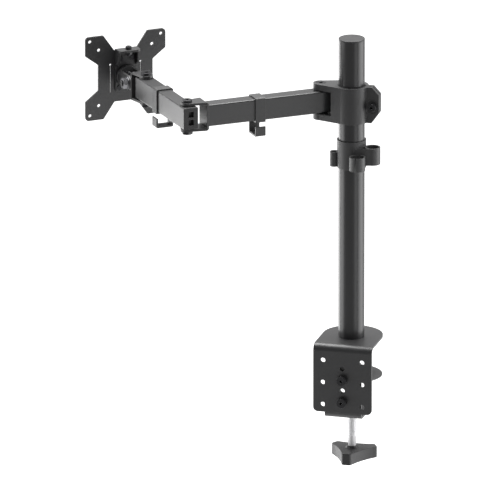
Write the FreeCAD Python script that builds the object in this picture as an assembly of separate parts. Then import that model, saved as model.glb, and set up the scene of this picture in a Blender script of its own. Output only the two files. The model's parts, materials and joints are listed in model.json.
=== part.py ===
import FreeCAD, Part
import math
import os

from FreeCAD import Placement, Rotation, Vector

# Single monitor arm on a desk clamp. Millimetres, +Z up. The origin is on the pole's axis, in the plane
# where the clamp's foam pad meets the desk top. -Y is the outer side of the clamp's front leg.

X, Y, Z = Vector(1, 0, 0), Vector(0, 1, 0), Vector(0, 0, 1)

# ---- shared fits and fasteners
RUN = 0.05               # radial running clearance of shafts, slides and screws
FACE = 0.2               # clearance between flat faces that slide on each other
M8, M6, M12 = 8.0, 6.0, 12.0
M8_NUT_AF, M8_NUT_H = 13.0, 6.5
M6_NUT_AF, M6_NUT_H = 10.0, 5.0
WASHER_T = 1.0
SHEET = 3.0              # bracket sheet

# ---- desk clamp
FOAM_T = 1.5
FOAM_INSET = 1.5
CLAMP_W = 78.0
CLAMP_FRONT = -46.0      # outer face of the front leg
CLAMP_ROUND_Y = 8.0      # centre of the top plate's round back
BEND_R = 9.0
LOWER_BEND_R = 7.0
LEG_DROP = 91.0          # bottom of the front leg below the top plate
LEG_CORNER_R = 6.0
FIRST_HOLE_DROP, LAST_HOLE_DROP = 21.0, LEG_DROP - 10.0
HOLE_D = 6.5
HOLE_PITCH = (LAST_HOLE_DROP - FIRST_HOLE_DROP) / 4
SIDE_HOLE_X = CLAMP_W / 2 - 13.0
MIDDLE_HOLE_DROP = 31.0
SIDE_HOLE_DROPS = [FIRST_HOLE_DROP + 2 * HOLE_PITCH * n for n in range(3)]
FREE_HOLE_DROPS = [MIDDLE_HOLE_DROP, MIDDLE_HOLE_DROP + 2 * HOLE_PITCH]
BOLT_DROPS = [MIDDLE_HOLE_DROP + HOLE_PITCH, MIDDLE_HOLE_DROP + 3 * HOLE_PITCH]
BRACKET_HEAD_D, BRACKET_HEAD_H = 13.0, 7.5

LOWER_W = 48.8
LOWER_TOP_DROP = 20.0
LOWER_BOTTOM_DROP = LEG_DROP + 8.6
LOWER_CORNER_R = 7.0
SCREW_Y = 5.6            # clamp screw's axis
THREAD_BOSS_D, THREAD_BOSS_H = 24.0, 5.0

# ---- clamp screw, pad and knob
PAD_TOP_DROP = 50.0      # rubber face of the pad below the top plate
PAD_D = 2 * (SCREW_Y - CLAMP_FRONT - 12.6)
PAD_T = 1.6
PAD_FLAT_R = PAD_D / 2 - 13.0   # flat middle of the dished disc
PAD_RISE = 2.0           # rim above the middle
PAD_RIM_W = 2.0
RUBBER_T = 4.0
RUBBER_INSET = 2.0
TIP_D, TIP_H = 18.0, 7.0
TIP_DOME_R = 60.0
SOCKET_WALL = 2.5
SOCKET_GAP = 0.9         # room for the pad to tilt on the tip
SOCKET_H = 5.0
SCREW_PLAIN_D = 10.5
KNOB_TOP_DROP = LEG_DROP + 62.0
SCREW_THREAD_DROP = KNOB_TOP_DROP - 15.0
KNOB_H = 15.2
KNOB_REACH = 32.3
KNOB_TIP_W = 13.0
KNOB_TIP_SLOPE = 2.0
KNOB_WAIST = 18.4
KNOB_CORNER_R, KNOB_RIM_R = 1.5, 1.0
KNOB_HUB_D, KNOB_HUB_H = 18.5, 3.2
KNOB_FIRST_LOBE = 30.0   # degrees about the screw
INSERT_D, INSERT_H = 16.0, 11.0

# ---- pole
POLE_D = 34.0
POLE_WALL = 2.0
POLE_TOP = 402.5         # top of the cap above the top plate
CAP_T = 2.2
CAP_PLUG = 14.0
BASE_PLUG_H = 26.0
POLE_HEAD_D, POLE_HEAD_H = 16.0, 2.4
POLE_BOLT_L = 22.0

# ---- collar
ARM_RISE = POLE_TOP - 87.0      # mid-plane of the arms above the top plate
LINER_T = 1.2
COLLAR_WALL = 3.75
COLLAR_R = POLE_D / 2 + RUN + LINER_T + COLLAR_WALL
SPLIT = 1.8
LUG_T = 8.0
SHOULDER_X = -COLLAR_R - 19.0   # shoulder pivot
CLEVIS_FACE_X = -COLLAR_R - 2.0  # inner face of the clevis
EAR_REACH = COLLAR_R + 15.7
EAR_T = 5.2
EAR_TOP_CUT = (9.2, 10.0)
EAR_BOTTOM_CUT = (10.0, 14.0)
COLLAR_SCREW_X = COLLAR_R + 7.0
COLLAR_SCREW_DROP = 2.0  # below mid-height
COLLAR_HEAD_D, COLLAR_HEAD_H = 11.0, 6.0
SPOT_D, SPOT_DEPTH = 17.0, 0.4

# ---- arms
TUBE_W, TUBE_H, TUBE_WALL = 20.0, 29.0, 1.8
TUBE_R = 1.8
TUBE_INNER_R = 0.8
SPACER_T, SPACER_D = 1.4, TUBE_W - 2.0
PLUG_L = 24.0
ARM_1_ANGLE, ARM_1_LENGTH = 216.9, 186.2
ARM_2_ANGLE, ARM_2_LENGTH = 128.4, 132.8
SHOULDER_OVERHANG = 11.0
ELBOW_OVERHANG = 11.6
HEAD_OVERHANG = 11.0
ELBOW_WEB = 22.3         # pivot to the inner face of the elbow bracket's web
BRACKET_W = TUBE_W + 6.0
LUG_END_R = TUBE_W / 2
BRACKET_END_R = 8.7
BRACKET_BEND_R = 4.0
PIVOT_HEAD_D, PIVOT_HEAD_H = 13.0, 3.4
PIVOT_NUT_H = 3.6
PIVOT_WASHER_D = 17.0

# ---- cable clips on the arms
CLIP_L = 13.8
BAND_T = 1.7
HOOK_T = 2.3
HOOK_DROP = 21.0
HOOK_LIP = 13.0
ARM_1_CLIP_AT = 88.7     # from the shoulder pivot
ARM_2_CLIP_AT = 79.0     # from the elbow pivot

# ---- cable clip on the pole
POLE_CLIP_LOW, POLE_CLIP_H = ARM_RISE - 86.0, 37.3
POLE_CLIP_WALL = 1.9
POLE_CLIP_R = POLE_D / 2 + RUN + POLE_CLIP_WALL
POLE_CLIP_MOUTH = 110.0  # degrees left open at the back
LOOP_SLIT = 1.4
# loops on the clip: direction in degrees, centre beyond the clip's outside, outer radius, rise, height
BIG_LOOP = (-4.0, 9.5, 10.2, 6.5, 22.5)
FRONT_LOOP = (-60.4, 9.4, 10.4, 3.0, 18.0)
SMALL_LOOP = (186.4, 3.6, 5.7, 0.0, 19.5)

# ---- head
HEAD_WEB = 18.0
TILT_AT = 34.0           # tilt axis beyond the head pivot
TONGUE_W = 17.4
TONGUE_R = 9.0
YOKE_EAR_R = 9.5
PLATE_BACK = 67.8        # back face of the VESA plate beyond the head pivot
HUB_D, HUB_T = 29.0, 4.0
CARRIER_W = 30.5
CARRIER_RISE = 37.5
CARRIER_DROP = 22.0
CARRIER_FLANGE = 17.0
CARRIER_SIDE_H = 25.0
LOCK_HEAD_D, LOCK_HEAD_H = 8.0, 4.0
M5 = 5.0

# ---- VESA plate
VESA_PITCHES = (100.0, 75.0)
VESA_HALF = VESA_PITCHES[0] / 2 + 6.5
VESA_T = 2.5
VESA_CORNER_R = 5.0
VESA_EDGE_X = 31.0       # where the top edge's flat ends
VESA_VALLEY_TOP = (15.5, 34.5)
VESA_EDGE_Z = 31.0       # where the side edge's flat ends
VESA_VALLEY_SIDE = (38.4, 17.5)
VESA_HOLE_D = 4.4
VESA_SLOT_X, VESA_SLOT_W = 21.3, 0.8
VESA_SLOT_Z = (-22.0, 16.0)
VESA_SLOT_EYE_D = 2.6
HUB_HEAD_D, HUB_HEAD_H = 16.0, 2.2
HUB_WINDOW_D = 20.0
RIVET_D, RIVET_HEAD_D = 4.0, 7.0
RIVET_TOP_Y = CARRIER_W / 2 - SHEET - RIVET_HEAD_D / 2 - 0.25
RIVET_PLACES = [(-RIVET_TOP_Y, 24.0), (RIVET_TOP_Y, 24.0), (-10.0, -15.6), (10.0, -15.6)]

# ---- places worked out from the sizes above
PLATE_TOP = FOAM_T + SHEET
ARM_Z = PLATE_TOP + ARM_RISE
PAD_TOP = PLATE_TOP - PAD_TOP_DROP
PAD_UNDER = PAD_TOP - RUBBER_T - PAD_T
TIP_TOP = PAD_UNDER - FACE
TIP_BOTTOM = TIP_TOP - TIP_H
LOWER_LEG_BOTTOM = PLATE_TOP - LOWER_BOTTOM_DROP
LOWER_LEG_TOP = LOWER_LEG_BOTTOM + SHEET
KNOB_TOP = PLATE_TOP - KNOB_TOP_DROP
TUBE_TOP = PLATE_TOP + POLE_TOP - CAP_T
LINER_R = POLE_D / 2 + RUN + LINER_T
FORK_HALF = TUBE_H / 2 + SPACER_T + 0.1          # inner half height of the brackets
FORK_OUTER = FORK_HALF + SHEET
COLLAR_HALF = FORK_HALF + LUG_T
YOKE_INNER = TONGUE_W / 2 + 0.3
CARRIER_BACK = PLATE_BACK - SHEET
HUB_BACK = CARRIER_BACK - WASHER_T - HUB_T


def unit(angle):
    return Vector(math.cos(math.radians(angle)), math.sin(math.radians(angle)), 0)


SHOULDER = Vector(SHOULDER_X, 0, ARM_Z)
ELBOW = SHOULDER + unit(ARM_1_ANGLE) * ARM_1_LENGTH
HEAD = ELBOW + unit(ARM_2_ANGLE) * ARM_2_LENGTH


# ---------------------------------------------------------------- helpers
def box(x0, x1, y0, y1, z0, z1):
    return Part.makeBox(x1 - x0, y1 - y0, z1 - z0, Vector(x0, y0, z0))


def upright(radius, z0, z1, x=0.0, y=0.0):
    return Part.makeCylinder(radius, z1 - z0, Vector(x, y, z0))


def rod(radius, start, end):
    return Part.makeCylinder(radius, (end - start).Length, start, end - start)


def along(shape, start, direction):
    """Place a shape that was built at the origin along +Z."""
    placed = shape.copy()
    placed.Placement = Placement(start, Rotation(Z, direction)).multiply(shape.Placement)
    return placed


def at(shape, origin, angle):
    """Place a shape that was built in an arm's own frame: x along the arm, z from its mid-plane."""
    placed = shape.copy()
    placed.Placement = Placement(origin, Rotation(Z, angle)).multiply(shape.Placement)
    return placed


def hex_prism(across, height):
    corner = across / math.sqrt(3)
    points = [unit(60 * n) * corner for n in range(7)]
    return Part.Face(Part.makePolygon(points)).extrude(Z * height)


def straight_edges(shape, direction):
    return [e for e in shape.Edges
            if isinstance(e.Curve, Part.Line) and abs(e.tangentAt(e.FirstParameter).dot(direction)) > 0.999]


def round_edges(shape, radius, direction, wanted=lambda p: True):
    """Fillet the straight edges along one direction whose middle is wanted."""
    edges = [e for e in straight_edges(shape, direction) if wanted(e.CenterOfMass)]
    return shape.makeFillet(radius, edges) if edges else shape


def round_rims(shape, radius, direction, level):
    """Fillet the round edges in the plane at one level along a direction."""
    edges = [e for e in shape.Edges
             if isinstance(e.Curve, Part.Circle) and abs(e.CenterOfMass.dot(direction) - level) < 0.01]
    return shape.makeFillet(radius, edges) if edges else shape


def plate(wire_points, thickness_vector):
    return Part.Face(Part.makePolygon(wire_points + wire_points[:1])).extrude(thickness_vector)


def socket_screw(d, length, head_d, head_h, rim=0.6):
    """Head on +Z from the seat at z 0, shank down -Z, hexagon socket in the head."""
    head = round_rims(upright(head_d / 2, 0, head_h), rim, Z, head_h)
    shank = upright(d / 2, -length, 0.5)
    key = hex_prism(0.62 * d, head_h)
    key.translate(Z * (0.35 * head_h))
    return head.fuse(shank).cut(key).removeSplitter()


def nut(across, height, bore):
    blank = hex_prism(across, height)
    crown = Part.makeCone(across * 0.5 + height * 1.7, across * 0.5, height, Vector(0, 0, 0), Z)
    return blank.common(crown).cut(upright(bore / 2, -1, height + 1))


def washer(outer, bore, thickness):
    return upright(outer / 2, 0, thickness).cut(upright(bore / 2, -1, thickness + 1))


def rect_tube(x0, x1):
    outer = box(x0, x1, -TUBE_W / 2, TUBE_W / 2, -TUBE_H / 2, TUBE_H / 2)
    half_w, half_h = TUBE_W / 2 - TUBE_WALL, TUBE_H / 2 - TUBE_WALL
    inner = box(x0 - 1, x1 + 1, -half_w, half_w, -half_h, half_h)
    return round_edges(outer, TUBE_R, X).cut(round_edges(inner, TUBE_INNER_R, X))


def tangent_outline(web_x, half_w, end_r):
    """A plate that tapers from a straight edge at web_x to a round end about the origin."""
    corner = Vector(web_x, half_w, 0)
    reach = corner.Length
    touch = math.atan2(half_w, web_x) + math.acos(end_r / reach)
    tangent = Vector(math.cos(touch), math.sin(touch), 0) * end_r
    mirror = Vector(tangent.x, -tangent.y, 0)
    edges = [
        Part.LineSegment(Vector(web_x, -half_w, 0), corner).toShape(),
        Part.LineSegment(corner, tangent).toShape(),
        Part.Arc(tangent, Vector(-end_r, 0, 0), mirror).toShape(),
        Part.LineSegment(mirror, Vector(web_x, -half_w, 0)).toShape(),
    ]
    return Part.Face(Part.Wire(edges))


def swivel_fork(web_inner):
    """U bracket about a pivot at the origin, web on the +x side."""
    web_outer = web_inner + SHEET
    half_w = BRACKET_W / 2
    body = box(web_inner, web_outer, -half_w, half_w, -FORK_OUTER, FORK_OUTER)
    outline = tangent_outline(web_outer, half_w, BRACKET_END_R)
    for low in (FORK_HALF, -FORK_OUTER):
        leaf = outline.extrude(Z * SHEET)
        leaf.translate(Z * low)
        body = body.fuse(leaf)
    body = body.removeSplitter()
    body = round_edges(body, BRACKET_BEND_R, Y, lambda p: p.x > web_outer - 0.1)
    body = round_edges(body, 1.0, Y, lambda p: abs(p.x - web_inner) < 0.1 and abs(abs(p.z) - FORK_HALF) < 0.1)
    return body.cut(upright(M8 / 2 + RUN, -FORK_OUTER - 1, FORK_OUTER + 1))


# ---------------------------------------------------------------- desk clamp
def clamp_top_bracket():
    half = CLAMP_W / 2
    top = box(-half, half, CLAMP_FRONT, CLAMP_ROUND_Y, FOAM_T, PLATE_TOP)
    top = top.fuse(upright(half, FOAM_T, PLATE_TOP, 0, CLAMP_ROUND_Y))
    leg = box(-half, half, CLAMP_FRONT, CLAMP_FRONT + SHEET, PLATE_TOP - LEG_DROP, PLATE_TOP)
    leg = round_edges(leg, LEG_CORNER_R, Y, lambda p: p.z < 0)
    body = top.fuse(leg).removeSplitter()
    body = round_edges(body, BEND_R, X, lambda p: p.y < CLAMP_FRONT + 0.1 and p.z > PLATE_TOP - 0.1)
    inner_y = CLAMP_FRONT + SHEET
    body = round_edges(body, BEND_R - SHEET, X,
                       lambda p: abs(p.y - inner_y) < 0.1 and abs(p.z - FOAM_T) < 0.1)
    places = [(x, drop) for x in (-SIDE_HOLE_X, SIDE_HOLE_X) for drop in SIDE_HOLE_DROPS]
    places += [(0.0, drop) for drop in FREE_HOLE_DROPS]
    for x, drop in places:
        z = PLATE_TOP - drop
        body = body.cut(rod(HOLE_D / 2, Vector(x, CLAMP_FRONT - 1, z), Vector(x, CLAMP_FRONT + SHEET + 1, z)))
    for drop in BOLT_DROPS:
        z = PLATE_TOP - drop
        body = body.cut(rod(HOLE_D / 2, Vector(0, CLAMP_FRONT - 1, z), Vector(0, CLAMP_FRONT + SHEET + 1, z)))
    sink = Part.makeCone(POLE_HEAD_D / 2 + RUN, M8 / 2 + RUN, POLE_HEAD_H, Vector(0, 0, FOAM_T), Z)
    return body.cut(upright(M8 / 2 + RUN, 0, PLATE_TOP + 1)).cut(sink)


def desk_foam():
    half = CLAMP_W / 2 - FOAM_INSET
    front = CLAMP_FRONT + BEND_R + FOAM_INSET
    sheet = box(-half, half, front, CLAMP_ROUND_Y, 0, FOAM_T)
    return sheet.fuse(upright(half, 0, FOAM_T, 0, CLAMP_ROUND_Y)).removeSplitter()


def clamp_lower_bracket():
    half = LOWER_W / 2
    front = CLAMP_FRONT + SHEET
    leg = box(-half, half, front, front + SHEET, LOWER_LEG_BOTTOM, PLATE_TOP - LOWER_TOP_DROP)
    leg = round_edges(leg, LOWER_CORNER_R, Y, lambda p: p.z > LOWER_LEG_TOP + 1)
    foot = box(-half, half, front, SCREW_Y, LOWER_LEG_BOTTOM, LOWER_LEG_TOP)
    foot = foot.fuse(upright(half, LOWER_LEG_BOTTOM, LOWER_LEG_TOP, 0, SCREW_Y))
    body = leg.fuse(foot).removeSplitter()
    body = round_edges(body, LOWER_BEND_R, X, lambda p: p.y < front + 0.1 and p.z < LOWER_LEG_BOTTOM + 0.1)
    inner = front + SHEET
    body = round_edges(body, LOWER_BEND_R - SHEET, X,
                       lambda p: abs(p.y - inner) < 0.1 and abs(p.z - LOWER_LEG_TOP) < 0.1)
    for drop in BOLT_DROPS:
        z = PLATE_TOP - drop
        body = body.cut(rod(M6 / 2 + RUN, Vector(0, front - 1, z), Vector(0, inner + 1, z)))
    z = PLATE_TOP - FREE_HOLE_DROPS[1]
    body = body.cut(rod(HOLE_D / 2, Vector(0, front - 1, z), Vector(0, inner + 1, z)))
    return body.cut(upright(M12 / 2 + RUN, LOWER_LEG_BOTTOM - 1, LOWER_LEG_TOP + 1, 0, SCREW_Y))


def thread_boss():
    top = LOWER_LEG_TOP + THREAD_BOSS_H
    ring = upright(THREAD_BOSS_D / 2, LOWER_LEG_TOP, top, 0, SCREW_Y)
    ring = round_rims(ring, 1.0, Z, top)
    return ring.cut(upright(M12 / 2 + RUN, LOWER_LEG_TOP - 1, top + 1, 0, SCREW_Y))


def bracket_bolts():
    screw = socket_screw(M6, 2 * SHEET, BRACKET_HEAD_D, BRACKET_HEAD_H)
    return [along(screw, Vector(0, CLAMP_FRONT, PLATE_TOP - drop), -Y) for drop in BOLT_DROPS]


# ---------------------------------------------------------------- clamp screw, pad and knob
def screw_tip():
    """Thrust piece on the end of the screw: a puck with a domed top that the pad rocks on."""
    centre = Vector(0, SCREW_Y, TIP_TOP - TIP_DOME_R)
    puck = upright(TIP_D / 2, TIP_BOTTOM, TIP_TOP, 0, SCREW_Y).common(Part.makeSphere(TIP_DOME_R, centre))
    bore_top = TIP_BOTTOM + 4.0
    return puck.cut(upright(SCREW_PLAIN_D / 2 + RUN, TIP_BOTTOM - 1, bore_top, 0, SCREW_Y))


def clamp_pad():
    """Dished steel disc with a socket below that fits round the screw's tip."""
    radius, rim_r = PAD_D / 2, PAD_D / 2 - PAD_RIM_W
    under, top = PAD_UNDER, PAD_UNDER + PAD_T
    points = [Vector(0, 0, under), Vector(PAD_FLAT_R, 0, under), Vector(rim_r, 0, under + PAD_RISE),
              Vector(radius, 0, under + PAD_RISE), Vector(radius, 0, top + PAD_RISE),
              Vector(rim_r, 0, top + PAD_RISE), Vector(PAD_FLAT_R, 0, top), Vector(0, 0, top)]
    disc = Part.Face(Part.makePolygon(points + points[:1])).revolve(Vector(0, 0, 0), Z, 360)
    disc = round_rims(disc, 0.7, Z, top + PAD_RISE)
    disc.translate(Y * SCREW_Y)
    inner = TIP_D / 2 + SOCKET_GAP
    socket = upright(inner + SOCKET_WALL, under - SOCKET_H, under + 0.5, 0, SCREW_Y)
    socket = socket.cut(upright(inner, under - SOCKET_H - 1, under, 0, SCREW_Y))
    return disc.fuse(socket).removeSplitter()


def pad_rubber():
    bottom = PAD_TOP - RUBBER_T
    face = upright(PAD_FLAT_R - RUBBER_INSET, bottom, PAD_TOP, 0, SCREW_Y)
    return round_rims(face, 0.8, Z, PAD_TOP)


def clamp_screw():
    end = TIP_BOTTOM + 4.0 - FACE
    shoulder = TIP_BOTTOM - FACE
    thread_end = PLATE_TOP - SCREW_THREAD_DROP
    foot = KNOB_TOP - INSERT_H + 1.0
    body = upright(M12 / 2, thread_end, shoulder, 0, SCREW_Y)
    body = body.fuse(upright(SCREW_PLAIN_D / 2, shoulder - 1, end, 0, SCREW_Y))
    return body.fuse(upright(SCREW_PLAIN_D / 2, foot, thread_end + 1, 0, SCREW_Y)).removeSplitter()


def knob_outline():
    """Three blunt lobes joined by shallow hollow sides."""
    tips, edges = [], []
    for n in range(3):
        ray = unit(KNOB_FIRST_LOBE + 120 * n)
        out, side = ray * KNOB_REACH, unit(KNOB_FIRST_LOBE + 120 * n + 90) * (KNOB_TIP_W / 2)
        back = out - ray * KNOB_TIP_SLOPE
        tips.append((back - side, out - side * 0.75, out + side * 0.75, back + side))
    for n in range(3):
        a, b, c, d = tips[n]
        for start, end in ((a, b), (b, c), (c, d)):
            edges.append(Part.LineSegment(start, end).toShape())
        waist = unit(KNOB_FIRST_LOBE + 120 * n + 60) * KNOB_WAIST
        edges.append(Part.Arc(d, waist, tips[(n + 1) % 3][0]).toShape())
    return Part.Face(Part.Wire(edges))


def clamp_knob():
    bottom = KNOB_TOP - KNOB_H
    grip = knob_outline().extrude(Z * KNOB_H)
    grip.translate(Vector(0, SCREW_Y, bottom))
    grip = round_edges(grip, KNOB_CORNER_R, Z)
    rim = [e for e in grip.Edges
           if abs(e.CenterOfMass.z - KNOB_TOP) < 0.01 or abs(e.CenterOfMass.z - bottom) < 0.01]
    grip = grip.makeFillet(KNOB_RIM_R, rim)
    seat = Vector(0, SCREW_Y, KNOB_TOP - 0.2)
    hub = Part.makeCone(KNOB_HUB_D / 2, KNOB_HUB_D / 2 - 2.5, KNOB_HUB_H, seat, Z)
    body = grip.fuse(hub).removeSplitter()
    body = body.cut(upright(SCREW_PLAIN_D / 2 + RUN, KNOB_TOP - 1, KNOB_TOP + KNOB_HUB_H + 1, 0, SCREW_Y))
    insert = INSERT_D / 2 + RUN
    return body.cut(upright(insert, KNOB_TOP - INSERT_H, KNOB_TOP - 0.5, 0, SCREW_Y))


def knob_insert():
    top = KNOB_TOP - 0.5 - RUN
    body = upright(INSERT_D / 2, KNOB_TOP - INSERT_H + RUN, top, 0, SCREW_Y)
    return body.cut(upright(SCREW_PLAIN_D / 2 + RUN, KNOB_TOP - INSERT_H + 0.9, top + 1, 0, SCREW_Y))


# ---------------------------------------------------------------- pole
def pole_tube():
    outer = upright(POLE_D / 2, PLATE_TOP, TUBE_TOP)
    return outer.cut(upright(POLE_D / 2 - POLE_WALL, PLATE_TOP - 1, TUBE_TOP + 1))


def pole_cap():
    top = PLATE_TOP + POLE_TOP
    disc = round_rims(upright(POLE_D / 2, TUBE_TOP, top), 0.8, Z, top)
    plug_r = POLE_D / 2 - POLE_WALL - RUN
    plug = upright(plug_r, TUBE_TOP - CAP_PLUG, TUBE_TOP + 0.5)
    return disc.fuse(plug).cut(upright(plug_r - 1.8, TUBE_TOP - CAP_PLUG - 1, TUBE_TOP)).removeSplitter()


def pole_base_plug():
    body = upright(POLE_D / 2 - POLE_WALL - RUN, PLATE_TOP, PLATE_TOP + BASE_PLUG_H)
    return body.cut(upright(M8 / 2 + RUN, PLATE_TOP - 1, PLATE_TOP + BASE_PLUG_H + 1))


def pole_bolt():
    head = Part.makeCone(POLE_HEAD_D / 2, M8 / 2, POLE_HEAD_H, Vector(0, 0, FOAM_T), Z)
    key = hex_prism(5.0, 1.8)
    key.translate(Z * FOAM_T)
    return head.fuse(upright(M8 / 2, FOAM_T, FOAM_T + POLE_BOLT_L)).cut(key).removeSplitter()


# ---------------------------------------------------------------- collar on the pole
def collar_liner():
    low, high = ARM_Z - COLLAR_HALF, ARM_Z + COLLAR_HALF
    sleeve = upright(LINER_R, low, high).cut(upright(POLE_D / 2 + RUN, low - 1, high + 1))
    return sleeve.cut(box(POLE_D / 2 - 2, LINER_R + 1, -SPLIT / 2, SPLIT / 2, low - 1, high + 1))


def clamp_ears(low, high):
    """Octagonal pair of ears beside the split."""
    cut_x, cut_z = EAR_TOP_CUT
    low_x, low_z = EAR_BOTTOM_CUT
    start = LINER_R + 1.0
    points = [
        Vector(start, 0, low), Vector(EAR_REACH - low_x, 0, low), Vector(EAR_REACH, 0, low + low_z),
        Vector(EAR_REACH, 0, high - cut_z), Vector(EAR_REACH - cut_x, 0, high), Vector(start, 0, high),
    ]
    half = SPLIT / 2 + EAR_T
    body = plate(points, Y * (2 * half))
    body.translate(Y * -half)
    return body


def collar_body():
    low, high = ARM_Z - COLLAR_HALF, ARM_Z + COLLAR_HALF
    body = upright(COLLAR_R, low, high)
    lug = upright(LUG_END_R, low, high, SHOULDER_X, 0)
    wedge = plate([Vector(SHOULDER_X, -LUG_END_R, low), Vector(SHOULDER_X, LUG_END_R, low),
                   Vector(-6, COLLAR_R - 1.2, low), Vector(-6, -COLLAR_R + 1.2, low)], Z * (2 * COLLAR_HALF))
    clevis = lug.fuse(wedge)
    clevis = clevis.cut(box(SHOULDER_X - 40, CLEVIS_FACE_X, -40, 40, ARM_Z - FORK_HALF, ARM_Z + FORK_HALF))
    body = body.fuse(clevis).fuse(clamp_ears(low, high)).removeSplitter()
    body = body.cut(upright(LINER_R + RUN, low - 1, high + 1))
    body = body.cut(box(0, EAR_REACH + 1, -SPLIT / 2, SPLIT / 2, low - 1, high + 1))
    body = body.cut(upright(M8 / 2 + RUN, low - 1, high + 1, SHOULDER_X, 0))
    body = body.cut(upright(PIVOT_HEAD_D / 2 + 0.2, high - PIVOT_HEAD_H, high + 1, SHOULDER_X, 0))
    recess = hex_prism(M8_NUT_AF + 0.2, M8_NUT_H)
    recess.translate(Vector(SHOULDER_X, 0, low))
    body = body.cut(recess)
    z, half = ARM_Z - COLLAR_SCREW_DROP, SPLIT / 2 + EAR_T
    across = Vector(COLLAR_SCREW_X, half + 1, z)
    body = body.cut(rod(M6 / 2 + RUN, Vector(COLLAR_SCREW_X, -half - 1, z), across))
    for sign in (-1, 1):
        start = Vector(COLLAR_SCREW_X, sign * (half - SPOT_DEPTH), z)
        body = body.cut(rod(SPOT_D / 2, start, start + Y * sign * 20))
    return body


def collar_screw():
    half = SPLIT / 2 + EAR_T - SPOT_DEPTH
    screw = socket_screw(M6, 2 * half + M6_NUT_H + 1, COLLAR_HEAD_D, COLLAR_HEAD_H)
    return along(screw, Vector(COLLAR_SCREW_X, -half, ARM_Z - COLLAR_SCREW_DROP), -Y)


def collar_nut():
    half = SPLIT / 2 + EAR_T - SPOT_DEPTH
    return along(nut(M6_NUT_AF, M6_NUT_H, M6 + 2 * RUN),
                 Vector(COLLAR_SCREW_X, half, ARM_Z - COLLAR_SCREW_DROP), Y)


def shoulder_bolt():
    seat = COLLAR_HALF - PIVOT_HEAD_H
    screw = socket_screw(M8, seat + COLLAR_HALF - 0.5, PIVOT_HEAD_D, PIVOT_HEAD_H)
    screw.translate(SHOULDER + Z * seat)
    return screw


def shoulder_nut():
    body = nut(M8_NUT_AF, M8_NUT_H, M8 + 2 * RUN)
    body.rotate(Vector(0, 0, 0), X, 180)
    body.translate(SHOULDER + Z * (M8_NUT_H - COLLAR_HALF))
    return body


# ---------------------------------------------------------------- pivots of the arms
def pivot_washers(pivot, angle):
    """Plastic washers above and below a tube at its pivot."""
    ring = washer(SPACER_D, M8 + 2 * RUN, SPACER_T)
    low, high = ring.copy(), ring.copy()
    high.translate(Z * (TUBE_H / 2))
    low.translate(Z * (-TUBE_H / 2 - SPACER_T))
    return [at(high, pivot, angle), at(low, pivot, angle)]


def fork_bolt(pivot):
    screw = socket_screw(M8, 2 * FORK_OUTER + WASHER_T + PIVOT_NUT_H, PIVOT_HEAD_D, PIVOT_HEAD_H)
    screw.translate(pivot + Z * FORK_OUTER)
    return screw


def fork_nut(pivot):
    body = nut(M8_NUT_AF, PIVOT_NUT_H, M8 + 2 * RUN)
    body.rotate(Vector(0, 0, 0), X, 180)
    ring = washer(PIVOT_WASHER_D, M8 + 2 * RUN, WASHER_T)
    ring.translate(Z * -WASHER_T)
    body.translate(Z * -WASHER_T)
    seat = pivot - Z * FORK_OUTER
    for piece in (body, ring):
        piece.translate(seat)
    return [ring, body]


def end_plug(overhang, windows):
    """Plastic block in a tube's end, open for the pivot bolt. The tube's end is at x = -overhang."""
    half_w, half_h = TUBE_W / 2 - TUBE_WALL - RUN, TUBE_H / 2 - TUBE_WALL - RUN
    block = box(-overhang, -overhang + PLUG_L, -half_w, half_w, -half_h, half_h)
    block = round_edges(block, TUBE_INNER_R, X)
    rim = box(-overhang - 1.6, -overhang, -TUBE_W / 2, TUBE_W / 2, -TUBE_H / 2, TUBE_H / 2)
    rim = round_edges(rim, TUBE_R, X)
    rim = round_edges(rim, 0.8, Z, lambda p: p.x < -overhang - 1.5)
    body = block.fuse(rim).removeSplitter()
    if windows:
        for z0, z1 in ((1.6, 9.2), (-9.2, -1.6)):
            body = body.cut(box(-overhang - 2, -overhang + 3.5, -3.6, 3.6, z0, z1))
    return body.cut(upright(M8 / 2 + RUN, -TUBE_H, TUBE_H))


def drill_pivot(tube, x):
    return tube.cut(upright(M8 / 2 + RUN, -TUBE_H, TUBE_H, x, 0))


# ---------------------------------------------------------------- arm 1 and arm 2
def arm_1_tube():
    tube = drill_pivot(rect_tube(-SHOULDER_OVERHANG, ARM_1_LENGTH - ELBOW_WEB - SHEET), 0)
    return at(tube, SHOULDER, ARM_1_ANGLE)


def arm_2_tube():
    tube = rect_tube(-ELBOW_OVERHANG, ARM_2_LENGTH + HEAD_OVERHANG)
    return at(drill_pivot(drill_pivot(tube, 0), ARM_2_LENGTH), ELBOW, ARM_2_ANGLE)


def elbow_bracket():
    return at(swivel_fork(ELBOW_WEB), ELBOW, ARM_1_ANGLE + 180)


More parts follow.
